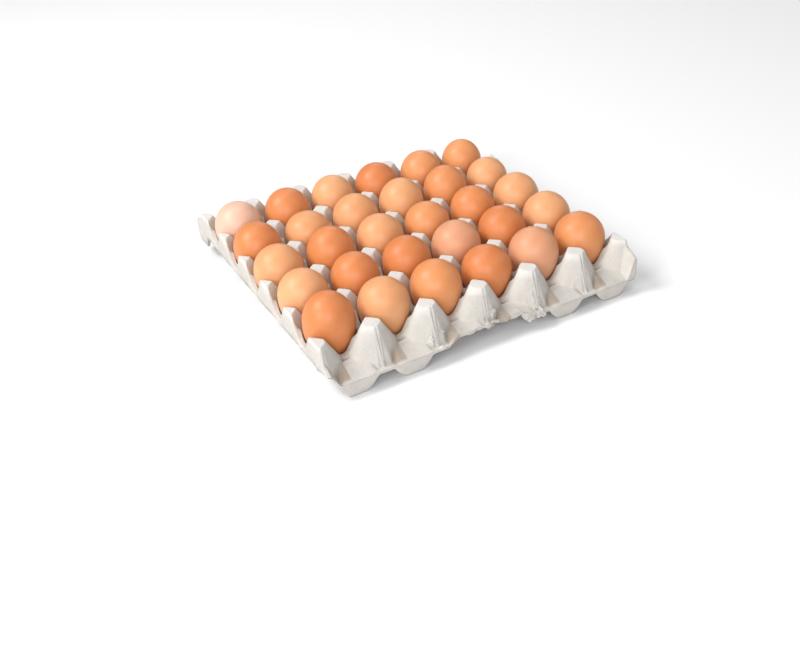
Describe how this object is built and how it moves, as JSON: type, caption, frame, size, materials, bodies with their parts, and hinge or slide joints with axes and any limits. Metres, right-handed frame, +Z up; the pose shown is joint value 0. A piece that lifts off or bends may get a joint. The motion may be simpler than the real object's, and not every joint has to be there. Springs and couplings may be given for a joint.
{
  "type": "egg tray with eggs",
  "caption": "Square moulded-pulp egg tray with tapered posts between its cups, skirts along two edges, and brown hen's eggs standing in the cups.",
  "frame": {"origin": "middle of the tray in plan, on the surface that the cups stand on", "axes": "+X along a row of six eggs to the right, +Y from the front skirt to the back one, +Z up"},
  "size_m": [0.3, 0.3, 0.068],
  "materials": {
    "pulp": "matt recycled pulp, light warm grey, fibrous",
    "shell_deep": "satin eggshell, deep orange brown",
    "shell_mid": "satin eggshell, orange brown",
    "shell_light": "satin eggshell, light tan",
    "shell_pink": "satin eggshell, pinkish tan",
    "shell_pale": "satin eggshell, very pale pink"
  },
  "bodies": {
    "root": {"tray": "pulp", "egg_1_1": "shell_deep", "egg_1_2": "shell_light", "egg_1_3": "shell_mid", "egg_1_4": "shell_deep", "egg_1_5": "shell_pink", "egg_1_6": "shell_mid", "egg_2_1": "shell_light", "egg_2_2": "shell_deep", "egg_2_3": "shell_deep", "egg_2_4": "shell_pink", "egg_2_5": "shell_deep", "egg_2_6": "shell_light", "egg_3_1": "shell_light", "egg_3_2": "shell_deep", "egg_3_3": "shell_light", "egg_3_4": "shell_mid", "egg_3_5": "shell_deep", "egg_3_6": "shell_light", "egg_4_1": "shell_deep", "egg_4_2": "shell_light", "egg_4_3": "shell_light", "egg_4_4": "shell_light", "egg_4_5": "shell_mid", "egg_4_6": "shell_light", "egg_5_1": "shell_pale", "egg_5_2": "shell_deep", "egg_5_3": "shell_light", "egg_5_4": "shell_deep", "egg_5_5": "shell_mid", "egg_5_6": "shell_mid"}
  },
  "joints": []
}
